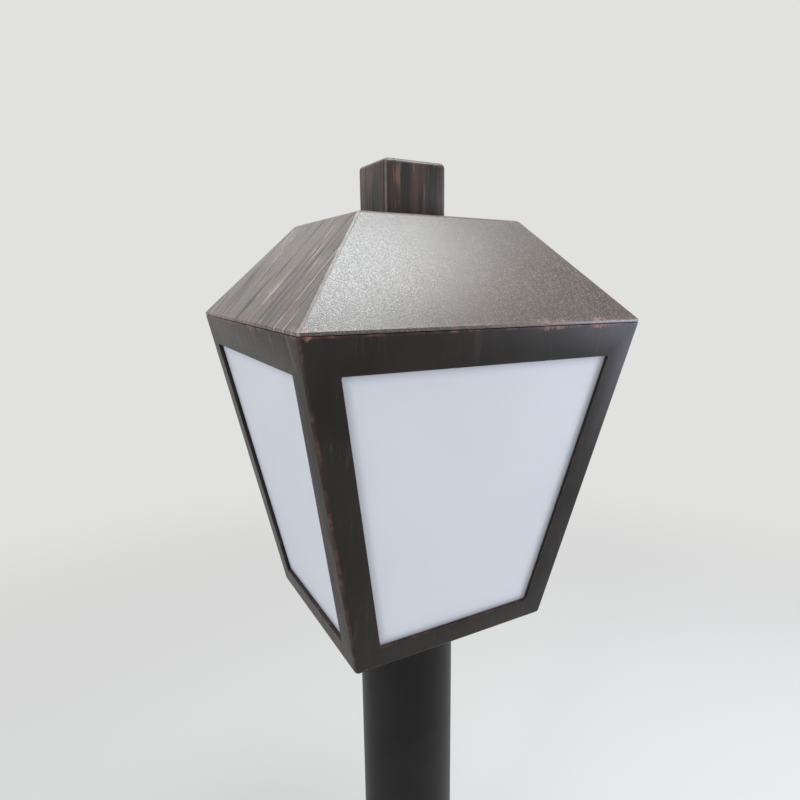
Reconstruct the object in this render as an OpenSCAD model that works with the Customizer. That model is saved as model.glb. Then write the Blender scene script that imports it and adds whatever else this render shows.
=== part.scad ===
// Garden lantern on a round post: a tapered square head with four opal panes under a pyramid roof.
// Origin: centre of the foot plate's underside, +Z up. The front face looks along -Y, the left one along -X.

/* [Foot and post] */
// Diameter of the round foot plate
foot_d = 150; // [136:1:190]
// Thickness of the foot plate
foot_t = 6; // [4:0.5:12]
// Diameter of the circle through the anchor holes
anchor_circle = 115; // [100:1:120]
// Diameter of each anchor hole
anchor_hole_d = 11; // [7:0.5:14]
// Number of anchor holes
anchor_count = 4; // [3:1:8]
// Diameter of the cable hole in the foot plate
cable_hole_d = 30; // [16:1:44]
// Outer diameter of the post tube
post_d = 63.5; // [56:0.5:66]
// Wall of the post tube
post_wall = 2; // [1.5:0.1:4]
// Length of post between the foot plate and the head
post_show = 364; // [150:1:900]

/* [Head body] */
// Outside width of the body at its top edge
body_w_top = 200; // [190:1:230]
// Outside width of the body at its bottom edge
body_w_bottom = 129.5; // [128:0.5:150]
// Height of the body
body_h = 190; // [180:1:240]
// Thickness of the four side frames
frame_t = 2; // [1.5:0.1:3]
// Thickness of the floor tray
tray_t = 3; // [2:0.1:4]
// Thickness of the top ring
ring_t = 1.5; // [1:0.1:2]

/* [Windows] */
// Width of the stile beside each window, measured level
stile_w = 16.4; // [14:0.1:22]
// Height of the rail above each window, along the slope
rail_top = 18.5; // [17:0.1:26]
// Height of the rail below each window, along the slope
rail_bottom = 14.3; // [13:0.1:22]
// Radius of the window's corners
window_r = 1; // [0.5:0.1:4]
// Thickness of the opal panes
pane_t = 3; // [2:0.1:4]
// How far a pane reaches behind the rails
pane_lap = 4; // [3:0.1:5]
// How far a pane reaches behind the stiles
pane_side_lap = 6; // [3:0.1:7]
// Thickness of the gasket between frame and pane
gasket_t = 0.4; // [0.3:0.1:0.8]
// Width of each pane clip
clip_w = 10; // [6:1:12]
// Thickness of each pane clip
clip_t = 0.8; // [0.5:0.1:1]
// Distance of the lower clips from the middle of a window
clip_out_bottom = 22; // [21:1:24]
// Distance of the upper clips from the middle of a window
clip_out_top = 50; // [30:1:60]

/* [Roof] */
// Thickness of the roof sheet
roof_t = 1.5; // [1:0.1:2]
// Height of the roof's vertical edge
roof_edge_h = 1.5; // [1.5:0.1:8]
// Height of the roof's slope
roof_slope_h = 55; // [45:1:80]
// Width of the flat top of the roof
roof_w_top = 100; // [80:1:120]
// Shadow gap between the body and the roof
roof_gap = 0.4; // [0.3:0.1:2]
// Width of the hem folded in under the roof's edge
hem_w = 12; // [11:0.5:14]
// Thickness of the collar that centres the roof
collar_t = 1.2; // [1:0.1:2]
// How far the collar hangs down inside the body
collar_drop = 14; // [13:0.5:16]
// Height of the weather seal
seal_h = 1.2; // [1:0.1:2]
// Width of each leaf spring
spring_w = 14; // [8:1:24]
// Thickness of each leaf spring
spring_t = 0.5; // [0.3:0.1:0.6]

/* [Chimney] */
// Width of the chimney box from left to right
chimney_w = 40; // [30:0.5:60]
// Depth of the chimney box from front to back
chimney_d = 37; // [30:0.5:60]
// Height of the chimney box
chimney_h = 33; // [20:0.5:60]
// Radius of the chimney's upright and top edges
chimney_r = 3; // [2:0.1:5]
// Wall of the chimney box
chimney_t = 1.5; // [1:0.1:2]
// Height of the strap above the roof
strap_lift = 4; // [3:0.5:8]
// Thickness of the strap
strap_t = 3; // [2:0.5:4]
// Width of the strap
strap_w = 14; // [10:1:20]

/* [Post collar] */
// Thickness of the collar's flange
socket_flange_t = 3; // [2:0.5:5]
// Diameter of the collar's flange
socket_flange_d = 92; // [90:1:96]
// Wall of the collar's sleeve
socket_wall = 4; // [3:0.5:4.5]
// Height of the sleeve above its flange
socket_h = 11; // [8:0.5:16]
// Diameter of the circle through the collar's screws
socket_screw_circle = 82; // [81:0.5:84]
// Thickness of the grommet's lip
grommet_lip = 2; // [1.5:0.5:3]
// Depth of the grommet's plug in the tube
grommet_plug = 8; // [5:1:12]
// Diameter of the cable hole in the grommet
grommet_hole_d = 9; // [7:0.5:14]

/* [Lamp holder] */
// Room for leads between the grommet and the holder's bridge
lead_room = 15; // [13:0.5:24]
// Thickness of the bridge
bridge_t = 1.5; // [1:0.1:3]
// Width of the bridge
bridge_w = 28; // [20:1:30]
// Outside length of the bridge's top
bridge_span = 110; // [102:0.5:120]
// Length of each foot of the bridge
bridge_foot = 8; // [7:0.5:8.5]
// Outer diameter of the hollow nipple
nipple_d = 10; // [8:0.5:12]
// Bore of the hollow nipple
nipple_bore = 7.2; // [6.6:0.1:7.4]
// Diameter of the holder at its rim
holder_d = 40; // [38:0.5:44]
// Diameter of the holder at its base
holder_base_d = 34; // [30:0.5:38]
// Height of the holder
holder_h = 42; // [38:0.5:46]
// Thickness of the holder's base
holder_base_t = 12; // [11:0.5:14]
// Height of the centre contact
contact_h = 3; // [2:0.1:4]

/* [Lamp] */
// Diameter over the thread of the lamp's cap
cap_d = 26.05; // [25:0.05:27]
// Pitch of the lamp's thread
thread_pitch = 3.62; // [3:0.01:4]
// Number of turns of thread on the cap
thread_turns = 5; // [4:1:5]
// Height of each thread crest
thread_h = 1.1; // [0.8:0.05:1.3]
// Length of the lamp from tip to dome
lamp_l = 104; // [95:1:110]
// Diameter of the lamp's dome
lamp_d = 60; // [50:1:66]
// Wall of the lamp's dome and housing
lamp_wall = 1.2; // [1:0.1:2]
// Length of cap, housing and tip below the dome
lamp_neck_l = 60; // [52:1:64]
// Diameter of the tip contact
tip_d = 9; // [7:0.5:10]

/* [Wiring] */
// Diameter of each lead over its insulation
lead_d = 2.2; // [1.6:0.1:2.4]
// Length of the terminal block
block_l = 27; // [24:0.5:27]
// Depth of the terminal block
block_w = 15; // [12:0.5:16]
// Height of the terminal block
block_h = 14; // [12:0.5:16]
// Bore for each lead
pole_bore = 3.4; // [2.6:0.1:4]

/* [Fasteners] */
// Diameter of the collar's and the chimney's screws
big_screw_d = 5; // [4:0.5:5]
// Diameter of the bridge's and the earth's screws
mid_screw_d = 4; // [3:0.5:4]
// Diameter of the clip screws
small_screw_d = 3; // [2:0.5:3]

/* [Fit and clearance] */
// Paint film between pieces that lie on each other
film = 0.05; // [0.02:0.01:0.1]
// Clearance round a screw or a rivet in its hole
screw_gap = 0.1; // [0.05:0.01:0.2]
// Clearance between a pane's edge and its seat
seat_gap = 0.3; // [0.2:0.05:0.6]
// Clearance of the post tube in its holes
post_gap = 0.15; // [0.1:0.05:0.4]
// Room between the roof collar and the top ring, for the leaf springs
spring_room = 1.6; // [1.5:0.1:2.5]
// Clearance between the lamp's cap and the holder's thread
cap_gap = 0.15; // [0.1:0.05:0.3]

/* [Hidden] */
$fn = 64;

paint = "#3a3330";
zinc = "#9a9c9e";
opal = "#e4eaf0";
rubber = "#1c1c1d";
brass = "#b08d4a";

// Turn of each side of the head about +Z, in degrees
front_turn = 0;
right_turn = 90;
back_turn = 180;
left_turn = 270;
side_turns = [front_turn, right_turn, back_turn, left_turn];
// How far a cut runs past the face that it opens
past = 1;

// Heights of the head
head_z = foot_t + post_show;
floor_z = head_z + tray_t;
body_top = head_z + body_h;
lean = atan((body_w_top - body_w_bottom) / 2 / body_h);
slope_l = body_h / cos(lean);
// Distance from the axis to a plane at a depth inside the body's face
// and half a face's width at a height along the slope
function face_r(z, depth = 0) = body_w_bottom / 2 + (z - head_z) * tan(lean) - depth / cos(lean);
function face_half(v) = body_w_bottom / 2 + v * sin(lean);

// Depths of the layers behind a body's face
gasket_front = frame_t + film;
pane_front = gasket_front + gasket_t + film;
pane_back = pane_front + pane_t;
sheet_front = frame_t + film;
tray_back = sheet_front + tray_t;
ring_back = sheet_front + ring_t;

// Heights of window and pane along the slope
window_lo = rail_bottom;
window_hi = slope_l - rail_top;
pane_lo = window_lo - pane_lap;
pane_hi = window_hi + pane_lap;
tray_flange_z = head_z + pane_lo * cos(lean) + pane_front * sin(lean) - seat_gap;
ring_foot_z = head_z + pane_hi * cos(lean) + pane_back * sin(lean) + seat_gap;
tray_flange_v = (tray_flange_z - head_z) / cos(lean) - tray_back * tan(lean);
ring_foot_v = (ring_foot_z - head_z) / cos(lean) - sheet_front * tan(lean);
// Pane clips: how far they reach over the pane, and where their screws sit from the sheet's edge
clip_grip = 2.8;
clip_end = 1.2;
clip_screw_up = 4.4;
clip_screw_down = 4;
function clip_screw_v(upper) = upper ? ring_foot_v + clip_screw_up : tray_flange_v - clip_screw_down;

// Roof: radii count from the axis to a flat side
roof_z = body_top + roof_gap;
roof_eave_z = roof_z + roof_edge_h;
roof_top = roof_eave_z + roof_slope_h;
roof_r = body_w_top / 2;
roof_pitch = atan(roof_slope_h / (roof_r - roof_w_top / 2));
hem_r = roof_r - hem_w;
collar_r = hem_r - 4 * film;
ring_r = collar_r + spring_room;
ring_top_z = body_top - seal_h;
function roof_inner_r(z) = roof_r - (z - roof_eave_z) / tan(roof_pitch) - roof_t / sin(roof_pitch);
collar_low = body_top - collar_drop;
rivet_up = 2.6;
washer_t = 1;

// Post collar, grommet and lamp holder
post_r = post_d / 2;
post_bore_r = post_r - post_wall;
sleeve_r = post_r + post_gap + socket_wall;
socket_top = floor_z + socket_flange_t + socket_h;
grommet_top = socket_top + grommet_lip;
bridge_top = grommet_top + lead_room + bridge_t;
bridge_under = bridge_top - bridge_t;
bridge_leg_r = bridge_span / 2;
bridge_screw_r = bridge_leg_r + bridge_foot / 2;
// The bridge lies along the diagonal that the terminal block leaves free
bridge_turn = -45;
collar_screw_count = 4;
grub_screw_count = 3;
nipple_below = 6;
nipple_low = bridge_under - nipple_below;
nut_h = 4;
nipple_in_holder = 8;
holder_z = bridge_top + film;
holder_floor_z = holder_z + holder_base_t;
contact_top = holder_floor_z + contact_h;
shell_gap = 0.1;
thread_root_d = cap_d - 2 * thread_h;
shell_crest_d = cap_d + 2 * cap_gap;
shell_wall = 0.6;
cavity_d = shell_crest_d + 2 * (thread_h + shell_wall + shell_gap);
lamp_z = contact_top + film;
tip_h = 2.6;
insulator_h = 5;
cap_top = insulator_h + thread_pitch * thread_turns + 4;
cap_wall = 0.8;
board_t = 1.5;
board_r = lamp_d / 2 - 1 - lamp_wall - 1.6;
// Light chips on the board: count, length, width, height and distance from the board's edge
chip_count = 10;
chip_l = 3.5;
chip_w = 2.8;
chip_h = 0.7;
chip_in = 8;

// Terminal block and earth point in the floor tray's corner, clear of the collar's flange
block_x = body_w_bottom / 2 - 34.75;
block_y = body_w_bottom / 2 - 22.25;
block_z = floor_z + film;
block_poles = 3;
pole_step = block_l / block_poles;
pole_z = block_z + block_h / 2;
function pole_x(i) = block_x + pole_step * (i + 0.5);
screw_well_d = 3.6;
screw_rows = [block_y + 0.27 * block_w, block_y + 0.73 * block_w];
screw_slot = 0.6;
earth_at = [-8, body_w_bottom / 2 - 11.75];
lug_l = 8.4;
lug_w = 3.2;
lug_t = 0.8;
lug_turn = -14;
// Leads: where they start in the block, how far apart they go up the nipple and where they end
lead_sides = 8;
lead_start_y = screw_rows[0];
lead_apart = 1.7;
lead_end_z = holder_floor_z - 0.3;
lug_end = earth_at + (lug_l - 0.7) * [cos(lug_turn), sin(lug_turn)];
// A screw's head, as a share of its thread's diameter
head_d = 1.9;
head_h = 0.55;

// Unit vector, and half the angle at corner p between its neighbours a and b
function unit(v) = v / norm(v);
function half_angle(a, p, b) = acos(unit(a - p) * unit(b - p)) / 2;

// Cutter along +Z for a round hole through a plate that starts at zero, and the same for a screw's hole
module through_hole(d, depth) {
  translate([0, 0, -past]) cylinder(d = d, h = depth + 2 * past);
}

module screw_hole(d, depth) {
  through_hole(d + 2 * screw_gap, depth);
}

// Convex outline with every corner rounded, as a polygon of tangent points and a true circle at each corner
module rounded_outline(points, r) {
  n = len(points);
  polygon([for (i = [0 : n - 1])
    let (p = points[i], a = points[(i + n - 1) % n], b = points[(i + 1) % n])
    let (reach = r / tan(half_angle(a, p, b)))
    each [p + unit(a - p) * reach, p + unit(b - p) * reach]]);
  for (i = [0 : n - 1]) {
    p = points[i];
    a = points[(i + n - 1) % n];
    b = points[(i + 1) % n];
    translate(p + unit(unit(a - p) + unit(b - p)) * (r / sin(half_angle(a, p, b)))) circle(r);
  }
}

// Stands its children on a face of the body: x level, y up the slope, z straight out of the face
module on_face(turn) {
  rotate(turn) translate([0, -body_w_bottom / 2, head_z]) rotate([90 + lean, 0, 0]) children();
}

// Profile of [depth, height along the slope] points, as long as a width, on a body's face
module face_strip(width, points) {
  rotate([0, 90, 0]) linear_extrude(width, center = true) polygon(points);
}

// Profile of [distance from axis, height] points along one side, mitred at both corners
module mitred_side(points, gap = 0) {
  reach = body_w_top;
  tall = roof_top + reach;
  intersection() {
    rotate([90, 0, 90]) linear_extrude(2 * reach, center = true) polygon([for (p = points) [-p[0], p[1]]]);
    translate([0, -gap, 0]) linear_extrude(tall) polygon([[0, 0], [-reach, -reach], [reach, -reach]]);
  }
}

// The same profile all round, as one piece
module square_ring(points) {
  for (turn = side_turns) rotate(turn) mitred_side(points);
}

// Trapezoid on a body's face between two heights along the slope, drawn in from the face's own edges
function face_outline(v0, v1, inset) = [
  [inset - face_half(v0), v0],
  [face_half(v0) - inset, v0],
  [face_half(v1) - inset, v1],
  [inset - face_half(v1), v1]];

// Pan-head screw along +Z: its shank goes down from 0 and its head stands up
module pan_screw(d, shank) {
  translate([0, 0, -shank]) cylinder(d = d, h = shank + film);
  difference() {
    cylinder(d = head_d * d, h = head_h * d);
    for (turn = [0, 90]) rotate(turn) translate([-0.6 * d, -0.1 * d, 0.35 * d]) cube([1.2 * d, 0.2 * d, d]);
  }
}

// Copies of its children, spread round the axis
module around(count, radius, start = 0) {
  for (i = [0 : count - 1]) rotate(start + 360 / count * i) translate([radius, 0, 0]) children();
}

// Foot and post
module base_flange() {
  color(paint) difference() {
    cylinder(d = foot_d, h = foot_t);
    through_hole(cable_hole_d, foot_t);
    around(anchor_count, anchor_circle / 2, 45) through_hole(anchor_hole_d, foot_t);
  }
}

module post_tube() {
  color(paint) translate([0, 0, foot_t]) difference() {
    cylinder(r = post_r, h = socket_top - foot_t);
    through_hole(2 * post_bore_r, socket_top - foot_t);
  }
}

module cable_grommet() {
  color(rubber) translate([0, 0, socket_top - grommet_plug]) difference() {
    union() {
      translate([0, 0, grommet_plug + film]) cylinder(r = post_r, h = grommet_lip - film);
      cylinder(r = post_bore_r - 2 * film, h = grommet_plug + film);
    }
    through_hole(grommet_hole_d, grommet_plug + grommet_lip);
  }
}

module post_collar() {
  tall = socket_top - floor_z;
  color(zinc) translate([0, 0, floor_z]) difference() {
    union() {
      translate([0, 0, film]) cylinder(d = socket_flange_d, h = socket_flange_t - film);
      translate([0, 0, film]) cylinder(r = sleeve_r, h = tall - film);
    }
    through_hole(2 * (post_r + post_gap), tall);
    around(collar_screw_count, socket_screw_circle / 2, 45) screw_hole(big_screw_d, socket_flange_t);
    around(grub_screw_count, 0, 90) translate([0, 0, tall - socket_h / 2]) rotate([0, 90, 0])
      screw_hole(big_screw_d, sleeve_r);
  }
}

module collar_screws() {
  color(zinc) around(collar_screw_count, socket_screw_circle / 2, 45)
    translate([0, 0, floor_z + socket_flange_t + film]) pan_screw(big_screw_d, socket_flange_t + tray_t);
}

module collar_grub_screws() {
  grub_l = socket_wall + 0.8;
  key_depth = 2;
  color(zinc) around(grub_screw_count, post_r + film, 90)
    translate([0, 0, socket_top - socket_h / 2]) rotate([0, 90, 0]) difference() {
      cylinder(d = big_screw_d, h = grub_l);
      translate([0, 0, grub_l - key_depth]) cylinder(d = big_screw_d / 2, h = key_depth + past, $fn = 6);
    }
}

// Head body
module floor_tray() {
  floor_half = face_r(head_z, sheet_front);
  top = tray_flange_z;
  color(paint) difference() {
    union() {
      translate([-floor_half, -floor_half, head_z]) cube([2 * floor_half, 2 * floor_half, tray_t]);
      square_ring([[face_r(head_z, tray_back), head_z], [face_r(head_z, sheet_front), head_z],
                   [face_r(top, sheet_front), top], [face_r(top, tray_back), top]]);
    }
    translate([0, 0, head_z]) {
      through_hole(2 * (post_r + post_gap), tray_t);
      around(collar_screw_count, socket_screw_circle / 2, 45) screw_hole(big_screw_d, tray_t);
      around(2, bridge_screw_r, bridge_turn) screw_hole(mid_screw_d, tray_t);
      translate(earth_at) screw_hole(mid_screw_d, tray_t);
    }
    for (turn = side_turns, u = [-1, 1]) on_face(turn)
      translate([u * clip_out_bottom, clip_screw_v(false), -tray_back]) screw_hole(small_screw_d, tray_t);
  }
}

module side_frame(turn) {
  color(paint) difference() {
    rotate(turn) mitred_side([[face_r(head_z), head_z], [face_r(body_top), body_top],
                              [face_r(body_top, frame_t), body_top],
                              [face_r(head_z, frame_t), head_z]], film);
    on_face(turn) translate([0, 0, -frame_t - past]) linear_extrude(frame_t + 2 * past)
      rounded_outline(face_outline(window_lo, window_hi, stile_w), window_r);
  }
}

module side_gasket(turn) {
  hide = 0.5;
  color(rubber) on_face(turn) translate([0, 0, -gasket_front - gasket_t]) linear_extrude(gasket_t)
    difference() {
      polygon(face_outline(pane_lo, pane_hi, stile_w - pane_side_lap));
      polygon(face_outline(window_lo - hide, window_hi + hide, stile_w - hide));
    }
}

module side_pane(turn) {
  color(opal) on_face(turn) translate([0, 0, -pane_back]) linear_extrude(pane_t)
    polygon(face_outline(pane_lo, pane_hi, stile_w - pane_side_lap));
}

module top_ring() {
  leg_z = ring_top_z - ring_t;
  color(paint) difference() {
    square_ring([[ring_r, ring_top_z], [face_r(ring_top_z, sheet_front), ring_top_z],
                 [face_r(ring_foot_z, sheet_front), ring_foot_z],
                 [face_r(ring_foot_z, ring_back), ring_foot_z],
                 [face_r(leg_z, ring_back), leg_z], [ring_r, leg_z]]);
    for (turn = side_turns, u = [-1, 1]) on_face(turn)
      translate([u * clip_out_top, clip_screw_v(true), -ring_back]) screw_hole(small_screw_d, ring_t);
  }
}

module roof_seal() {
  seal_in = ring_r + 1;
  seal_out = face_r(ring_top_z, ring_back);
  color(rubber) square_ring([[seal_in, ring_top_z + film], [seal_out, ring_top_z + film],
                             [seal_out, ring_top_z + seal_h + film], [seal_in, ring_top_z + seal_h + film]]);
}

// A clip is screwed to the tray or the ring and steps over to press on the pane's back
module pane_clip(upper) {
  toward = upper ? -1 : 1;
  seat = (upper ? ring_back : tray_back) + film;
  grip = pane_back + film;
  edge = upper ? ring_foot_v : tray_flange_v;
  far = clip_screw_v(upper) - toward * (small_screw_d + clip_end) / 1.4;
  mid = edge - toward * 0.4;
  tip = (upper ? pane_hi : pane_lo) + toward * clip_grip;
  step = edge + toward * 0.1;
  difference() {
    face_strip(clip_w, [[seat, far], [seat, mid], [grip, step], [grip, tip], [grip + clip_t, tip],
                        [grip + clip_t, step - toward * 0.2], [seat + clip_t, mid - toward * 0.2],
                        [seat + clip_t, far]]);
    translate([0, clip_screw_v(upper), -seat - clip_t]) screw_hole(small_screw_d, clip_t);
  }
}

module at_clips() {
  for (turn = side_turns, u = [-1, 1]) on_face(turn) {
    $upper = true;
    translate([u * clip_out_top, 0, 0]) children();
  }
  for (turn = side_turns, u = [-1, 1]) on_face(turn) {
    $upper = false;
    translate([u * clip_out_bottom, 0, 0]) children();
  }
}

module pane_clips() {
  color(zinc) at_clips() pane_clip($upper);
}

module clip_screws() {
  color(zinc) at_clips() {
    seat = $upper ? ring_back : tray_back;
    sheet = $upper ? ring_t : tray_t;
    translate([0, clip_screw_v($upper), -seat - clip_t - 2 * film]) rotate([180, 0, 0])
      pan_screw(small_screw_d, clip_t + sheet);
  }
}

// Lamp holder
module holder_bridge() {
  foot_x = bridge_leg_r + bridge_foot;
  low = floor_z + film;
  color(zinc) difference() {
    rotate(bridge_turn) rotate([90, 0, 0]) linear_extrude(bridge_w, center = true)
      polygon([[-foot_x, low], [bridge_t - bridge_leg_r, low], [bridge_t - bridge_leg_r, bridge_under],
               [bridge_leg_r - bridge_t, bridge_under], [bridge_leg_r - bridge_t, low], [foot_x, low],
               [foot_x, low + bridge_t], [bridge_leg_r, low + bridge_t], [bridge_leg_r, bridge_top],
               [-bridge_leg_r, bridge_top], [-bridge_leg_r, low + bridge_t], [-foot_x, low + bridge_t]]);
    translate([0, 0, bridge_under]) screw_hole(nipple_d, bridge_t);
    around(2, bridge_screw_r, bridge_turn) translate([0, 0, low]) screw_hole(mid_screw_d, bridge_t);
  }
}

module bridge_screws() {
  color(zinc) around(2, bridge_screw_r, bridge_turn)
    translate([0, 0, floor_z + bridge_t + 2 * film]) pan_screw(mid_screw_d, bridge_t + tray_t);
}

module holder_nipple() {
  tall = holder_z + nipple_in_holder - nipple_low;
  color(zinc) translate([0, 0, nipple_low]) difference() {
    cylinder(d = nipple_d, h = tall);
    through_hole(nipple_bore, tall);
  }
}

module holder_nut() {
  color(zinc) translate([0, 0, bridge_under - nut_h - film]) difference() {
    cylinder(d = 1.6 * nipple_d, h = nut_h, $fn = 6);
    screw_hole(nipple_d, nut_h);
  }
}

module holder_body() {
  rim_z = holder_z + holder_h;
  flare_z = holder_z + holder_base_t;
  color("#e8e4dc") difference() {
    rotate_extrude() polygon([[0, holder_z], [holder_base_d / 2, holder_z], [holder_base_d / 2, flare_z - 3],
                              [holder_d / 2, flare_z], [holder_d / 2, rim_z], [0, rim_z]]);
    translate([0, 0, holder_floor_z]) cylinder(d = cavity_d, h = holder_h);
    translate([0, 0, holder_z - past])
      cylinder(d = nipple_d + 2 * screw_gap, h = nipple_in_holder + film + past);
    translate([0, 0, holder_z]) through_hole(nipple_bore, holder_base_t);
  }
}

// Wavy thread line from one height up: radius swings between root and crest once a pitch
function thread_line(r, h, z0, turns, steps = 6) =
  [for (i = [0 : turns * steps]) [r + h * (0.5 - 0.5 * cos(360 * i / steps)), z0 + thread_pitch * i / steps]];

module holder_shell() {
  low = contact_top + 0.4;
  high = holder_z + holder_h - 2;
  turns = floor((high - low) / thread_pitch);
  inner = thread_line(shell_crest_d / 2, thread_h, low, turns);
  outer = [for (p = inner) [p[0] + shell_wall, p[1]]];
  color(brass) rotate_extrude() polygon(concat(inner, [for (i = [len(outer) - 1 : -1 : 0]) outer[i]]));
}

module holder_contact() {
  color(brass) {
    translate([0, 0, holder_floor_z + film]) cylinder(d = 16, h = 0.8);
    translate([0, 0, holder_floor_z + film]) cylinder(d = 6, h = contact_h - film);
  }
}

// Wiring
module terminal_block() {
  color("#efeee9") difference() {
    translate([block_x, block_y, block_z]) cube([block_l, block_w, block_h]);
    for (i = [0 : block_poles - 1]) {
      translate([pole_x(i), block_y, pole_z]) rotate([-90, 0, 0]) through_hole(pole_bore, block_w);
      for (y = screw_rows) translate([pole_x(i), y, pole_z]) cylinder(d = screw_well_d, h = block_h);
    }
  }
}

module terminal_screws() {
  tall = block_h / 2 - lead_d / 2 - 1.5;
  slot_depth = 0.8;
  for (i = [0 : block_poles - 1], y = screw_rows)
    color(zinc) translate([pole_x(i), y, pole_z + lead_d / 2 + film]) difference() {
      cylinder(d = screw_well_d - 2 * screw_gap, h = tall);
      translate([-screw_well_d / 2, -screw_slot / 2, tall - slot_depth])
        cube([screw_well_d, screw_slot, slot_depth + past]);
    }
}

// Smooth route through chosen points, and a round tube swept along it
function bend(a, b, c, d, t) =
  0.5 * (2 * b + (c - a) * t + (2 * a - 5 * b + 4 * c - d) * t ^ 2 + (3 * b - a - 3 * c + d) * t ^ 3);
function smooth(p, steps) = let (n = len(p)) concat(
  [for (i = [0 : n - 2], j = [0 : steps - 1])
    bend(p[max(i - 1, 0)], p[i], p[i + 1], p[min(i + 2, n - 1)], j / steps)],
  [p[n - 1]]);
function heading(p, i) = unit(p[min(i + 1, len(p) - 1)] - p[max(i - 1, 0)]);
function carried(p, i, last) = let (h = heading(p, i), flat = last - h * (last * h)) unit(flat);
function normals(p, first) =
  [for (i = 0, n = carried(p, 0, first); i < len(p); i = i + 1, n = i < len(p) ? carried(p, i, n) : n) n];
function ring_point(h, n, angle) = lead_d / 2 * (n * cos(angle) + cross(h, n) * sin(angle));

module lead(route, first) {
  p = smooth(route, 4);
  n = normals(p, first);
  rings = [for (i = [0 : len(p) - 1], k = [0 : lead_sides - 1])
           p[i] + ring_point(heading(p, i), n[i], 360 * k / lead_sides)];
  last = len(p) - 1;
  skin = [for (i = [0 : last - 1], k = [0 : lead_sides - 1])
          let (a = i * lead_sides, m = (k + 1) % lead_sides)
          [a + k, a + lead_sides + k, a + lead_sides + m, a + m]];
  ends = [[for (k = [0 : lead_sides - 1]) k], [for (k = [lead_sides - 1 : -1 : 0]) last * lead_sides + k]];
  polyhedron(rings, concat(skin, ends), convexity = 6);
}

module lead_live() {
  x = pole_x(1);
  color("#6b4226") lead([[x, lead_start_y, pole_z], [x, block_y - 4, pole_z],
                         [x - 4, block_y - 12, pole_z + 6], [block_x - 4, 17, grommet_top + 4.5],
                         [12, 7, grommet_top + 3.5], [2.5, 3, grommet_top + 4.5],
                         [0, lead_apart, nipple_low], [0, lead_apart, nipple_low + 5],
                         [0, lead_apart, lead_end_z - 5], [0, lead_apart, lead_end_z]], [1, 0, 0]);
}

module lead_neutral() {
  x = pole_x(2);
  color("#2f5f9e") lead([[x, lead_start_y, pole_z], [x, block_y - 4, pole_z],
                         [x - 4, block_y - 14, pole_z + 5], [block_x + 8, 14, grommet_top + 2.5],
                         [22, 0, grommet_top + 4], [8, -5, grommet_top + 3.5],
                         [0, -lead_apart - 1, grommet_top + 5.5], [0, -lead_apart, nipple_low + 4],
                         [0, -lead_apart, lead_end_z - 5], [0, -lead_apart, lead_end_z]], [1, 0, 0]);
}

module lead_earth() {
  x = pole_x(0);
  on_lug = floor_z + lug_t + lead_d / 2 + 2 * film;
  color("#7a8f2e") lead([[x, lead_start_y, pole_z], [x, block_y - 1, pole_z],
                         [x - 6, block_y - 2.5, pole_z + 1], [block_x - 12, block_y, pole_z + 0.5],
                         [lug_end[0] + 10, lug_end[1] - 3.5, pole_z - 2.5],
                         [lug_end[0] + 4, lug_end[1] - 1.3, on_lug + 0.4],
                         [lug_end[0], lug_end[1], on_lug]], [1, 0, 0]);
}

module earth_lug() {
  color("#c7c9cb") translate([earth_at[0], earth_at[1], floor_z + film]) difference() {
    union() {
      cylinder(d = 2.2 * mid_screw_d, h = lug_t);
      rotate(lug_turn) translate([0, -lug_w / 2, 0]) cube([lug_l, lug_w, lug_t]);
    }
    screw_hole(mid_screw_d, lug_t);
  }
}

module earth_screw() {
  color(brass) translate([earth_at[0], earth_at[1], floor_z + lug_t + 2 * film])
    pan_screw(mid_screw_d, tray_t + lug_t);
}

// Lamp, drawn with its tip at its own zero
module lamp_tip() {
  color(brass) translate([0, 0, lamp_z]) cylinder(d = tip_d, h = tip_h);
}

module lamp_insulator() {
  wide = thread_root_d / 2 - 0.4;
  color("#26242a") translate([0, 0, lamp_z]) rotate_extrude()
    polygon([[tip_d / 2 + film, 0.8], [tip_d / 2 + 1.2, 0.8], [wide, insulator_h - film],
             [tip_d / 2 + film, insulator_h - film]]);
}

module lamp_cap() {
  start = insulator_h;
  line = thread_line(thread_root_d / 2, thread_h, start, thread_turns);
  inner_r = thread_root_d / 2 - cap_wall;
  color("#b9bbbd") translate([0, 0, lamp_z]) rotate_extrude()
    polygon(concat([[tip_d / 2, start]], line, [[thread_root_d / 2, cap_top], [inner_r, cap_top],
                   [inner_r, start + cap_wall], [tip_d / 2, start + cap_wall]]));
}

module lamp_housing() {
  plug_r = thread_root_d / 2 - cap_wall - film;
  wide = lamp_d / 2 - 1;
  color("#f1f1ef") translate([0, 0, lamp_z]) rotate_extrude()
    polygon([[plug_r - lamp_wall, cap_top - 8], [plug_r, cap_top - 8], [plug_r, cap_top + film],
             [thread_root_d / 2 + 1.5, cap_top + film], [thread_root_d / 2 + 3, cap_top + 6],
             [wide - 6, lamp_neck_l - 12], [wide, lamp_neck_l - film], [wide - lamp_wall, lamp_neck_l - film],
             [wide - 6 - lamp_wall, lamp_neck_l - 11], [thread_root_d / 2 + 1.5, cap_top + 7],
             [plug_r - lamp_wall, cap_top + 3]]);
}

// The dome is part of a ball that stands on the housing's rim
module lamp_globe() {
  wide = lamp_d / 2;
  rise = lamp_l - lamp_neck_l;
  ball_z = lamp_l - wide;
  color("#f7f6f2") translate([0, 0, lamp_z]) rotate_extrude() difference() {
    intersection() {
      translate([0, ball_z]) circle(wide);
      translate([0, lamp_neck_l]) square([wide + 1, rise + 1]);
    }
    translate([0, ball_z]) circle(wide - lamp_wall);
  }
}

module lamp_board() {
  color("#d9dcde") translate([0, 0, lamp_z + lamp_neck_l - chip_h - board_t])
    cylinder(r = board_r, h = board_t);
}

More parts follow.
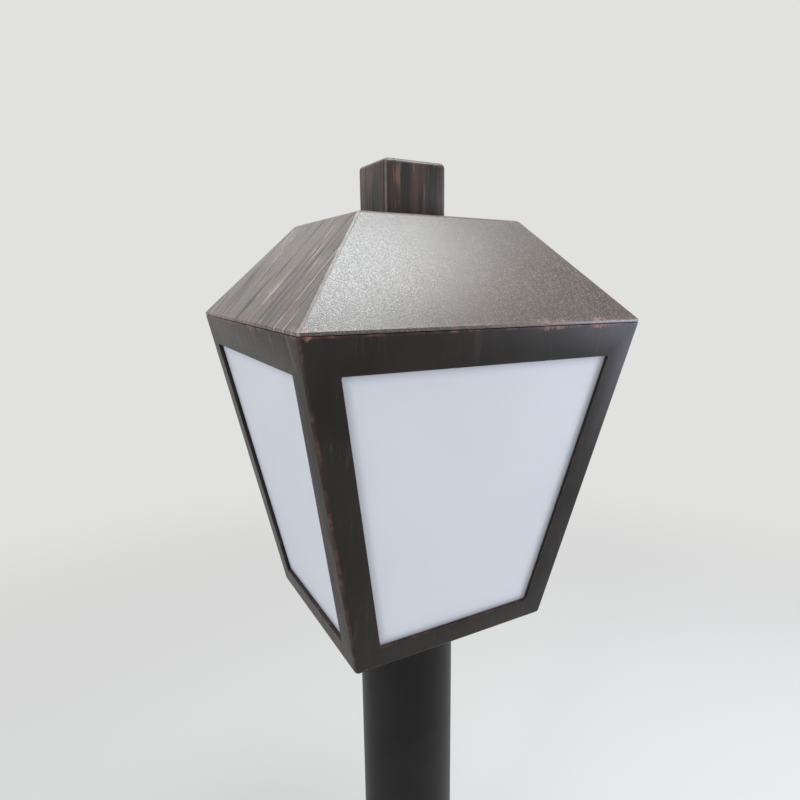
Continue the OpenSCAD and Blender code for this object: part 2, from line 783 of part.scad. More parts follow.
module lamp_chips() {
  color("#f0d75a") translate([0, 0, lamp_z + lamp_neck_l - chip_h + film])
    around(chip_count, board_r - chip_in) translate([-chip_w / 2, -chip_l / 2, 0])
      cube([chip_w, chip_l, chip_h]);
}

// Roof
module roof_shell() {
  top_in_z = roof_top - roof_t;
  rim = 6;
  plate_half = roof_w_top / 2 - rim;
  plate_w = 2 * (plate_half + past);
  hem_top = roof_z + roof_t;
  color(paint) difference() {
    union() {
      square_ring([[hem_r, roof_z], [roof_r, roof_z], [roof_r, roof_eave_z], [roof_w_top / 2, roof_top],
                   [plate_half, roof_top], [plate_half, top_in_z], [roof_inner_r(top_in_z), top_in_z],
                   [roof_inner_r(hem_top), hem_top], [hem_r, hem_top]]);
      translate([-plate_w / 2, -plate_w / 2, top_in_z]) cube([plate_w, plate_w, roof_t]);
    }
    translate([0, 0, top_in_z]) screw_hole(big_screw_d, roof_t);
  }
}

module roof_collar() {
  low = collar_low;
  flange_z = roof_z + roof_t + film;
  flange_out = roof_inner_r(flange_z + collar_t) - film;
  inner = collar_r - collar_t;
  color(paint) difference() {
    square_ring([[inner, low], [collar_r, low], [collar_r, flange_z], [flange_out, flange_z],
                 [flange_out, flange_z + collar_t], [inner, flange_z + collar_t]]);
    for (turn = side_turns) rotate(turn) translate([0, -inner, low + rivet_up]) rotate([90, 0, 0])
      screw_hole(small_screw_d, collar_t);
  }
}

// A leaf spring is riveted at its foot and bows out towards the top ring
module roof_springs() {
  inset = 0.4;
  low = collar_low + inset;
  flat_z = low + 2 * rivet_up;
  high = body_top - inset;
  base_r = collar_r + film;
  bow = spring_room - seat_gap - spring_t - film;
  steps = 8;
  curve = [for (i = [0 : steps]) [base_r + bow * sin(150 * i / steps), flat_z + (high - flat_z) * i / steps]];
  outside = [for (i = [steps : -1 : 0]) curve[i] + [spring_t, 0]];
  points = concat([[base_r, low]], curve, outside, [[base_r + spring_t, low]]);
  color(zinc) for (turn = side_turns) rotate(turn) difference() {
    rotate([90, 0, 90]) linear_extrude(spring_w, center = true) polygon([for (p = points) [-p[0], p[1]]]);
    translate([0, -base_r, collar_low + rivet_up]) rotate([90, 0, 0]) screw_hole(small_screw_d, spring_t);
  }
}

module spring_rivets() {
  grip = collar_t + spring_t + 3 * film;
  head = 0.8;
  tail = 0.5;
  color(zinc) for (turn = side_turns) rotate(turn)
    translate([0, -collar_r + collar_t + film, collar_low + rivet_up]) rotate([90, 0, 0]) {
      cylinder(d = small_screw_d, h = grip);
      translate([0, 0, -head]) cylinder(d = 1.6 * small_screw_d, h = head);
      translate([0, 0, grip]) cylinder(d = 1.5 * small_screw_d, h = tail);
    }
}

// Chimney: a box with true round edges, open below
module soft_box(w, d, h, r) {
  x = w / 2 - r;
  y = d / 2 - r;
  z = h - r;
  translate([-x, -y, 0]) cube([2 * x, 2 * y, h]);
  translate([-w / 2, -y, 0]) cube([w, 2 * y, z]);
  translate([-x, -d / 2, 0]) cube([2 * x, d, z]);
  for (i = [-1, 1], j = [-1, 1]) translate([i * x, j * y, 0]) cylinder(r = r, h = z);
  for (i = [-1, 1], j = [-1, 1]) translate([i * x, j * y, z]) sphere(r);
  for (i = [-1, 1]) translate([i * x, -y, z]) rotate([-90, 0, 0]) cylinder(r = r, h = 2 * y);
  for (j = [-1, 1]) translate([-x, j * y, z]) rotate([0, 90, 0]) cylinder(r = r, h = 2 * x);
}

module chimney() {
  inner_r = chimney_r - chimney_t / 2;
  color(paint) translate([0, 0, roof_top + film]) difference() {
    soft_box(chimney_w, chimney_d, chimney_h - film, chimney_r);
    translate([0, 0, -past]) soft_box(chimney_w - 2 * chimney_t, chimney_d - 2 * chimney_t,
                                      chimney_h - film - chimney_t + past, inner_r);
  }
}

module chimney_strap() {
  long = chimney_w - 2 * chimney_t - 2 * film;
  color(zinc) translate([0, 0, roof_top + strap_lift]) difference() {
    translate([-long / 2, -strap_w / 2, 0]) cube([long, strap_w, strap_t]);
    screw_hole(big_screw_d, strap_t);
  }
}

module chimney_washer() {
  color(zinc) translate([0, 0, roof_top - roof_t - film - washer_t]) difference() {
    cylinder(d = 3 * big_screw_d, h = washer_t);
    screw_hole(big_screw_d, washer_t);
  }
}

module chimney_screw() {
  hex_h = 0.7 * big_screw_d;
  seat = roof_top - roof_t - washer_t - 2 * film;
  color(zinc) translate([0, 0, seat]) {
    cylinder(d = big_screw_d, h = roof_top + strap_lift + strap_t + 1 - seat);
    translate([0, 0, -hex_h]) cylinder(d = 1.85 * big_screw_d, h = hex_h, $fn = 6);
  }
}

base_flange();
post_tube();
cable_grommet();
post_collar();
collar_screws();
collar_grub_screws();
floor_tray();
side_frame(front_turn);  // front_frame
side_frame(right_turn);  // right_frame
side_frame(back_turn);  // back_frame
side_frame(left_turn);  // left_frame
top_ring();
roof_seal();
side_gasket(front_turn);  // front_gasket
side_gasket(right_turn);  // right_gasket
side_gasket(back_turn);  // back_gasket
side_gasket(left_turn);  // left_gasket
side_pane(front_turn);  // front_pane
side_pane(right_turn);  // right_pane
side_pane(back_turn);  // back_pane
side_pane(left_turn);  // left_pane
pane_clips();
clip_screws();
holder_bridge();
bridge_screws();
holder_nipple();
holder_nut();
holder_body();
holder_shell();
holder_contact();
terminal_block();
terminal_screws();
lead_live();
lead_neutral();
lead_earth();
earth_screw();
earth_lug();
lamp_tip();
lamp_insulator();
lamp_cap();
lamp_housing();
lamp_globe();
lamp_board();
lamp_chips();
roof_shell();
roof_collar();
roof_springs();
spring_rivets();
chimney();
chimney_strap();
chimney_washer();
chimney_screw();
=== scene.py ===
# %% [markdown]
# # Garden lantern
# A tapered square head stands on a round post. Four opal panes sit behind
# folded sheet frames, and a pyramid roof with a small chimney box lies on top.
# The solid model has the true sizes, so this script starts by loading it. The
# visible sheet metal is then modelled again with softer edges, and every
# surface gets a finish worked out from nodes.

# %% Load the solid model
import math
from functools import partial

import bmesh
import bpy
from mathutils import Euler, Matrix, Vector


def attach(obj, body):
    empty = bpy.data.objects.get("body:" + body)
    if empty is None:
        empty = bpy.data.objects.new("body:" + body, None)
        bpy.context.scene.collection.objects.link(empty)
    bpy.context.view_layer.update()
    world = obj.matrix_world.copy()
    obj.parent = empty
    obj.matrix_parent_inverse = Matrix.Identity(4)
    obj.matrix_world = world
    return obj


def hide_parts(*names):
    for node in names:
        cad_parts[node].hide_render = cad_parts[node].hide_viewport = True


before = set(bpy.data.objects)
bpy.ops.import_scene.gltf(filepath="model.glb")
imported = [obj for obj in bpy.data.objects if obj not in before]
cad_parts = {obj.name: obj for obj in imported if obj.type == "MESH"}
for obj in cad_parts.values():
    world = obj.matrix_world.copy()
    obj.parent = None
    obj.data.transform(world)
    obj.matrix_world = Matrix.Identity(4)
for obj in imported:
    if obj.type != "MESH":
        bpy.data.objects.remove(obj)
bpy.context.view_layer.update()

# %% [markdown]
# ## Camera
# The photograph was taken from a step away, a little above the roof's edge.
# Its place and lens were worked out from the corners of the head, which has
# known sizes. A small shift does what cropping the picture did.

# %% Camera
camera_at = Vector((-0.1746, -0.3368, 0.5818))
camera_down = math.radians(12.57)
camera_left = math.radians(-30.80)
camera_roll = math.radians(0.14)

camera_data = bpy.data.cameras.new("camera")
camera_data.lens = 26.88
camera_data.sensor_width = 36
camera_data.shift_x = -0.0483
camera_data.shift_y = 0.0198
camera = bpy.data.objects.new("camera", camera_data)
bpy.context.scene.collection.objects.link(camera)
aim = Euler((math.radians(90) - camera_down, 0, camera_left)).to_matrix()
aim = aim @ Matrix.Rotation(camera_roll, 3, "Z")
camera.matrix_world = Matrix.Translation(camera_at) @ aim.to_4x4()
bpy.context.scene.camera = camera
bpy.context.scene.view_settings.view_transform = "Standard"
print("camera at", tuple(camera_at))

# %% [markdown]
# ## Colours and nodes
# Colours are written the way a paint chart gives them, as sRGB hex values.
# Shaders work with linear light, so one function turns them over. One more
# function adds a node with its options and its inputs, which keeps each
# material short to read. Arithmetic and the mixing of two colours come up so
# often that each has a function of its own.

# %% Helpers for colours and nodes
def tint(text):
    """Turn an sRGB hex colour into linear light."""
    parts = [int(text[i:i + 2], 16) / 255 for i in (1, 3, 5)]
    line = [c / 12.92 if c <= 0.04045 else ((c + 0.055) / 1.055) ** 2.4 for c in parts]
    return (*line, 1)


def add(tree, kind, inputs=None, **options):
    """Add one node, set its options, then fill or link its inputs."""
    node = tree.nodes.new(kind)
    for name, value in options.items():
        setattr(node, name, value)
    for key, value in (inputs or {}).items():
        if isinstance(value, bpy.types.NodeSocket):
            tree.links.new(value, node.inputs[key])
        else:
            node.inputs[key].default_value = value
    return node


def finish_named(name, colour, roughness, metallic=0.0):
    """Start a material: its node tree and its main shader."""
    material = bpy.data.materials.new(name)
    material.use_nodes = True
    tree = material.node_tree
    shader = tree.nodes["Principled BSDF"]
    shader.inputs["Base Color"].default_value = tint(colour)
    shader.inputs["Roughness"].default_value = roughness
    shader.inputs["Metallic"].default_value = metallic
    return material, tree, shader


def maths(tree, operation, a, b=0.0):
    """Work out one sum, with sockets or numbers, and give its result."""
    return add(tree, "ShaderNodeMath", {0: a, 1: b}, operation=operation).outputs[0]


def blend(tree, factor, a, b):
    """Mix two colours: a where the factor is 0, b where it is 1."""
    return add(tree, "ShaderNodeMix", {0: factor, 6: a, 7: b}, data_type="RGBA").outputs[2]


# %% [markdown]
# ## Floor, background and light
# The lantern stands in a plain pale studio. The world gives an even fill, at
# full strength in reflections and behind the lantern, and lower as light on
# the surfaces, so that the opal panes keep their tone. The floor fades into the
# background colour between 0.4 and 1.4 m out, so that no horizon shows.
#
# Soft boxes hang all round. The one above is what the front of the roof
# mirrors, and a small warm one beside it tints the middle of that slope. The
# two at the sides are bluish, like daylight, and light the panes. The one at
# the back keeps the far sides from going dark. Two small strips draw the
# grazing shine on the left slope of the roof and the left side of the post.

# %% World
pale = "#e1e1e0"
world = bpy.data.worlds.new("studio")
bpy.context.scene.world = world
world.use_nodes = True
sky = world.node_tree
back = sky.nodes["Background"]
back.inputs["Color"].default_value = tint(pale)
ray = add(sky, "ShaderNodeLightPath").outputs
seen = maths(sky, "MAXIMUM", ray["Is Camera Ray"], ray["Is Glossy Ray"])
seen = maths(sky, "MAXIMUM", seen, ray["Is Transmission Ray"])
fill_level = 0.7
level = add(sky, "ShaderNodeMapRange", {0: seen, 3: fill_level, 4: 1.0})
sky.links.new(level.outputs[0], back.inputs["Strength"])
print("world fill", fill_level)

# %% Floor
def fresh():
    """Leave edit mode and deselect everything."""
    if bpy.context.object and bpy.context.object.mode != "OBJECT":
        bpy.ops.object.mode_set(mode="OBJECT")
    bpy.ops.object.select_all(action="DESELECT")


fresh()
bpy.ops.mesh.primitive_circle_add(vertices=96, radius=6, fill_type="NGON", location=(0, 0, 0))
floor = bpy.context.object
floor.name = "floor"
matt, tree, shader = finish_named("studio_floor", "#d3d3d1", 0.9)
shader.inputs["Specular IOR Level"].default_value = 0.1
place = add(tree, "ShaderNodeTexCoord")
away = add(tree, "ShaderNodeVectorMath", {0: place.outputs["Object"]}, operation="LENGTH")
fade_from, fade_to = 0.4, 1.4
fade = add(tree, "ShaderNodeMapRange", {0: away.outputs["Value"], 1: fade_from, 2: fade_to},
           interpolation_type="SMOOTHSTEP")
glow = add(tree, "ShaderNodeEmission", {"Color": tint(pale), "Strength": 1.0})
both = add(tree, "ShaderNodeMixShader", {0: fade.outputs[0], 1: shader.outputs[0],
                                         2: glow.outputs[0]})
tree.links.new(both.outputs[0], tree.nodes["Material Output"].inputs["Surface"])
floor.data.materials.append(matt)
print("floor radius 6 m")

# %% Soft box
def soft_box(name, towards, distance, width, depth, power, colour="#ffffff"):
    """Hang a soft box in a direction from the roof and turn it to the head."""
    target = Vector((0, -0.03, 0.56))
    data = bpy.data.lights.new(name, "AREA")
    data.shape = "RECTANGLE"
    data.size = width
    data.size_y = depth
    data.energy = power
    data.color = tint(colour)[:3]
    lamp = bpy.data.objects.new(name, data)
    bpy.context.scene.collection.objects.link(lamp)
    spot = target + Vector(towards).normalized() * distance
    turn = (target - spot).to_track_quat("-Z", "Y").to_matrix().to_4x4()
    lamp.matrix_world = Matrix.Translation(spot) @ turn
    lamp.visible_camera = False
    return lamp


soft_box("soft_box_above", (0.20, -0.14, 0.97), 1.1, 0.66, 0.55, 12.6, "#f8fdff")
soft_box("soft_box_warm", (0.56, -0.20, 0.80), 1.1, 0.3, 0.5, 0.6, "#ffc49a")
soft_box("soft_box_right", (0.86, -0.50, -0.02), 1.2, 0.5, 0.6, 7.4, "#dfe6ff")
soft_box("soft_box_left", (-0.92, -0.25, -0.10), 1.6, 1.1, 0.5, 5.2, "#c6daff")
soft_box("soft_box_back", (-0.12, 0.92, 0.42), 1.5, 1.3, 0.7, 1.2, "#fff8f0")
soft_box("strip_behind", (-0.11, 0.47, 0.88), 1.2, 0.35, 0.3, 2.5)
soft_box("strip_left", (-0.86, -0.47, 0.18), 1.3, 0.2, 0.3, 2.0)

# %% [markdown]
# ## Modelling by hand
# Each piece starts as a primitive at its size and place and is shaped in edit
# mode. Faces and edges are picked in code by where they lie.

# %% Helpers for modelling
def middle(part):
    """Middle of a vertex, an edge or a face."""
    points = [part.co] if isinstance(part, bmesh.types.BMVert) else [v.co for v in part.verts]
    return sum(points, Vector()) / len(points)


def pick(obj, kind, test):
    """Select the vertices, edges or faces that pass a test, and nothing else."""
    bpy.ops.mesh.select_mode(type=kind)
    bpy.ops.mesh.select_all(action="DESELECT")
    mesh = bmesh.from_edit_mesh(obj.data)
    parts = {"VERT": mesh.verts, "EDGE": mesh.edges, "FACE": mesh.faces}[kind]
    chosen = [part for part in parts if test(part)]
    for part in chosen:
        part.select_set(True)
    mesh.select_flush_mode()
    bmesh.update_edit_mesh(obj.data)
    return len(chosen)


def box_start(name, width, depth, low, high):
    """A cube at its size and place, in edit mode."""
    fresh()
    size = (width, depth, high - low)
    bpy.ops.mesh.primitive_cube_add(size=1, location=(0, 0, (low + high) / 2), scale=size)
    obj = bpy.context.object
    obj.name = name
    bpy.ops.object.transform_apply(location=True, rotation=True, scale=True)
    bpy.ops.object.mode_set(mode="EDIT")
    return obj


def apply_modifier(obj, kind, **settings):
    """Add a modifier with its settings and apply it at once."""
    if obj.mode != "OBJECT":
        bpy.ops.object.mode_set(mode="OBJECT")
    modifier = obj.modifiers.new(kind.lower(), kind)
    for key, value in settings.items():
        setattr(modifier, key, value)
    bpy.ops.object.modifier_apply(modifier=modifier.name)


def smooth(obj, degrees=35):
    """Shade round faces smooth and keep the creases."""
    if obj.mode != "OBJECT":
        bpy.ops.object.mode_set(mode="OBJECT")
    bpy.ops.object.shade_smooth_by_angle(angle=math.radians(degrees))
    print(obj.name, "faces:", len(obj.data.polygons))


# %% [markdown]
# ## Side frames
# The body is folded from 2 mm steel sheet: four alike sides, each with a
# trapezoid window, joined along the slanting corners. One way is to cut four
# flat plates. Folded sheet has round corners, so here a whole tapered shell
# is made, its corners are rounded, the front window is cut, and the front
# quarter is cut free along the mitres and copied round. The cut needs a far
# smaller tolerance than usual, because the folds are only 2.2 mm in radius, and
# what it leaves loose is cleared away.

# %% Sizes of the body
head_z = 0.370
body_top = 0.560
half_low = 0.06475
half_high = 0.100
lean = math.atan2(half_high - half_low, body_top - head_z)
stile = 0.0164
rail_low, rail_high = 0.0143, 0.0185
window_low = head_z + rail_low * math.cos(lean)
window_high = body_top - rail_high * math.cos(lean)
wall = 0.002
fold_r = 0.0022
soft_edge = 0.0003


def half_at(z):
    """Half the body's width at a height."""
    return half_low + (z - head_z) * math.tan(lean)


print("body leans", round(math.degrees(lean), 2), "degrees, window", window_low, window_high)

# %% Tapered shell with round corners
frame_piece = box_start("front_frame_sheet", 2 * half_high, 2 * half_high, head_z, body_top)
pick(frame_piece, "VERT", lambda v: v.co.z < head_z + 0.01)
narrow = half_low / half_high
bpy.ops.transform.resize(value=(narrow, narrow, 1), center_override=(0, 0, head_z))
pick(frame_piece, "EDGE", lambda e: middle(e).z < body_top - 0.01)
bpy.ops.mesh.bevel(offset=fold_r, segments=5, profile=0.5, affect="EDGES")
pick(frame_piece, "FACE", lambda f: abs(f.normal.z) > 0.95)
bpy.ops.mesh.delete(type="ONLY_FACE")
print("shell faces:", len(bmesh.from_edit_mesh(frame_piece.data).faces))

# %% Window in the front face
def on_front(face):
    return face.normal.y < -0.95 and face.calc_area() > 0.005


pick(frame_piece, "FACE", on_front)
bpy.ops.mesh.inset(thickness=stile, depth=0)
corners = [v.co.copy() for v in bmesh.from_edit_mesh(frame_piece.data).verts if v.select]
middle_z = (head_z + body_top) / 2
for at in corners:
    z = window_high if at.z > middle_z else window_low
    x = math.copysign(half_at(z) - stile, at.x)
    goal = Vector((x, -half_at(z), z))
    pick(frame_piece, "VERT", lambda v: (v.co - at).length < 1e-6)
    bpy.ops.transform.translate(value=goal - at)


def at_window_corner(v):
    goal_z = window_high if v.co.z > middle_z else window_low
    goal_x = half_at(goal_z) - stile
    return v.co.y < 0 and abs(v.co.z - goal_z) < 1e-5 and abs(abs(v.co.x) - goal_x) < 1e-5


print("window corners:", pick(frame_piece, "VERT", at_window_corner))
window_r = 0.001
bpy.ops.mesh.bevel(offset=window_r, segments=4, profile=0.5, affect="VERTICES")
pick(frame_piece, "FACE", lambda f: on_front(f) and abs(middle(f).z - middle_z) < 0.02)
bpy.ops.mesh.delete(type="FACE")

# %% Wall thickness, soft edges and mitres
apply_modifier(frame_piece, "SOLIDIFY", thickness=wall, offset=-1)
apply_modifier(frame_piece, "BEVEL", width=soft_edge, segments=2, limit_method="ANGLE",
               angle_limit=math.radians(40))
bpy.ops.object.mode_set(mode="EDIT")
for across in (1, -1):
    bpy.ops.mesh.select_all(action="SELECT")
    bpy.ops.mesh.bisect(plane_co=(0, 0, 0), plane_no=(across, 1, 0), use_fill=True,
                        clear_outer=True, threshold=1e-6)
bpy.ops.mesh.select_all(action="SELECT")
bpy.ops.mesh.dissolve_degenerate(threshold=1e-6)
bpy.ops.mesh.delete_loose()
smooth(frame_piece)

# %% Copies for the other sides
frame_pieces = {"front_frame": frame_piece}
for node, turn in (("right_frame", 90), ("back_frame", 180), ("left_frame", 270)):
    copy = bpy.data.objects.new(node + "_sheet", frame_piece.data.copy())
    bpy.context.scene.collection.objects.link(copy)
    copy.data.transform(Matrix.Rotation(math.radians(turn), 4, "Z"))
    frame_pieces[node] = copy
for node, piece in frame_pieces.items():
    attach(piece, "lantern")
    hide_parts(node)
print("frames:", sorted(frame_pieces))

# %% [markdown]
# ## Roof
# The roof is pressed from 1.5 mm sheet: a pyramid cut flat, a short vertical
# edge and a hem folded in below. It starts as a box, whose top is drawn in
# above the vertical edge. The hem comes before the folds are rounded, because
# an inset wider than a corner's radius would turn that corner inside out. The
# folds have a 2 mm radius: a pressed fold is never sharp, and it catches a line
# of light.

# %% Roof shell
roof_z = 0.5604
eave_z = 0.5619
roof_top = 0.6169
roof_half = 0.100
roof_wall = 0.0015
hem = 0.012
roof_fold_r = 0.0020
roof = box_start("roof_sheet", 2 * roof_half, 2 * roof_half, roof_z, roof_top)
bpy.ops.mesh.select_all(action="SELECT")
bpy.ops.mesh.bisect(plane_co=(0, 0, eave_z), plane_no=(0, 0, 1))
pick(roof, "VERT", lambda v: v.co.z > roof_top - 0.001)
bpy.ops.transform.resize(value=(0.5, 0.5, 1), center_override=(0, 0, roof_top))
print("slope of the roof:", round(math.degrees(math.atan2(roof_top - eave_z, roof_half / 2)), 1))

# %% Hem
pick(roof, "FACE", lambda f: f.normal.z < -0.95)
bpy.ops.mesh.inset(thickness=hem, depth=0)
bpy.ops.mesh.delete(type="FACE")
print("faces with the hem:", len(bmesh.from_edit_mesh(roof.data).faces))

# %% Folds
def fold_line(edge):
    a, b = (v.co for v in edge.verts)
    return abs(a.z - b.z) > 1e-4 or min(a.z, b.z) > roof_top - 0.001


print("folds:", pick(roof, "EDGE", fold_line))
bpy.ops.mesh.bevel(offset=roof_fold_r, segments=5, profile=0.5, affect="EDGES")

# %% Wall of the roof
apply_modifier(roof, "SOLIDIFY", thickness=roof_wall, offset=-1)
apply_modifier(roof, "WELD", merge_threshold=0.0001)
apply_modifier(roof, "BEVEL", width=soft_edge, segments=2, limit_method="ANGLE",
               angle_limit=math.radians(30))
smooth(roof)
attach(roof, "roof")
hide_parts("roof_shell")

# %% [markdown]
# ## Chimney box
# The box on the roof is pressed from the same sheet and open below. Its
# upright and top edges have a 3 mm radius, which a bevel with six steps
# gives.

# %% Chimney
chimney_low = 0.61695
chimney_high = 0.6499
chimney_w, chimney_d = 0.040, 0.037
chimney_r = 0.003
chimney = box_start("chimney_box", chimney_w, chimney_d, chimney_low, chimney_high)
pick(chimney, "EDGE", lambda e: middle(e).z > chimney_low + 0.001)
bpy.ops.mesh.bevel(offset=chimney_r, segments=6, profile=0.5, affect="EDGES")
pick(chimney, "FACE", lambda f: f.normal.z < -0.95)
bpy.ops.mesh.delete(type="FACE")
apply_modifier(chimney, "SOLIDIFY", thickness=roof_wall, offset=-1)
apply_modifier(chimney, "BEVEL", width=soft_edge, segments=2, limit_method="ANGLE",
               angle_limit=math.radians(40))
smooth(chimney)
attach(chimney, "roof")
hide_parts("chimney")

# %% [markdown]
# ## Foot plate and weld
# A round plate carries the post. Its rim was turned, so it has a small
# chamfer, and a weld bead runs round the post. The bead is a ring whose
# every third rib is drawn in, as the ripples of a hand weld are.

# %% Foot plate
foot_r = 0.075
foot_h = 0.006
cable_r = 0.015
anchor_r, anchor_out = 0.0055, 0.0575
chamfer = 0.0008
fresh()
bpy.ops.mesh.primitive_cylinder_add(vertices=128, radius=foot_r, depth=foot_h,
                                    location=(0, 0, foot_h / 2))
foot = bpy.context.object
foot.name = "foot_plate"
bpy.ops.object.transform_apply(location=True, rotation=True, scale=True)
drills = [(0, 0, cable_r)]
for i in range(4):
    angle = math.radians(45 + 90 * i)
    drills.append((anchor_out * math.cos(angle), anchor_out * math.sin(angle), anchor_r))
for x, y, r in drills:
    fresh()
    bpy.ops.mesh.primitive_cylinder_add(vertices=64, radius=r, depth=0.03, location=(x, y, 0))
    drill = bpy.context.object
    fresh()
    foot.select_set(True)
    bpy.context.view_layer.objects.active = foot
    apply_modifier(foot, "BOOLEAN", object=drill, operation="DIFFERENCE", solver="EXACT")
    bpy.data.objects.remove(drill)
apply_modifier(foot, "BEVEL", width=chamfer, segments=3, limit_method="ANGLE",
               angle_limit=math.radians(50))
smooth(foot)
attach(foot, "lantern")
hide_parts("base_flange")

# %% Weld bead
post_r = 0.03175
bead_r = 0.0024
bead_out = 0.0008
ribs = 168
ripple = 0.0005
fresh()
bpy.ops.mesh.primitive_torus_add(major_radius=post_r + bead_out, minor_radius=bead_r,
                                 major_segments=ribs, minor_segments=12,
                                 location=(0, 0, foot_h + bead_out))
bead = bpy.context.object
bead.name = "weld_bead"
bpy.ops.object.transform_apply(location=True, rotation=True, scale=True)
bpy.ops.object.mode_set(mode="EDIT")


def in_ripple(v):
    rib = round(math.degrees(math.atan2(v.co.y, v.co.x)) % 360 / (360 / ribs))
    return rib % 3 == 0


pick(bead, "VERT", in_ripple)
bpy.ops.transform.shrink_fatten(value=-ripple)
smooth(bead, 60)
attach(bead, "lantern")

# %% [markdown]
# ## Bronze paint
# The sheet metal has a dark bronze powder coat that was brushed over with a
# little copper, mostly along edges, and has streaks of it down the slopes.
# Powder coat is a dielectric with a fine orange peel, about a millimetre from
# crest to crest, which breaks up its shine. Grains of some half a millimetre
# shine each a little differently. The roof is burnished more than the body, and
# the post least. The wear follows the edges of the real shape, so the distance
# to the nearest edge is worked out from Object coordinates. All four sides are
# alike, so the larger of |x| and |y| tells how far out a point lies, and the
# smaller one how far along.
#
# A pattern's scale counts its cells in a metre: 760 is a cell of 1.3 mm.

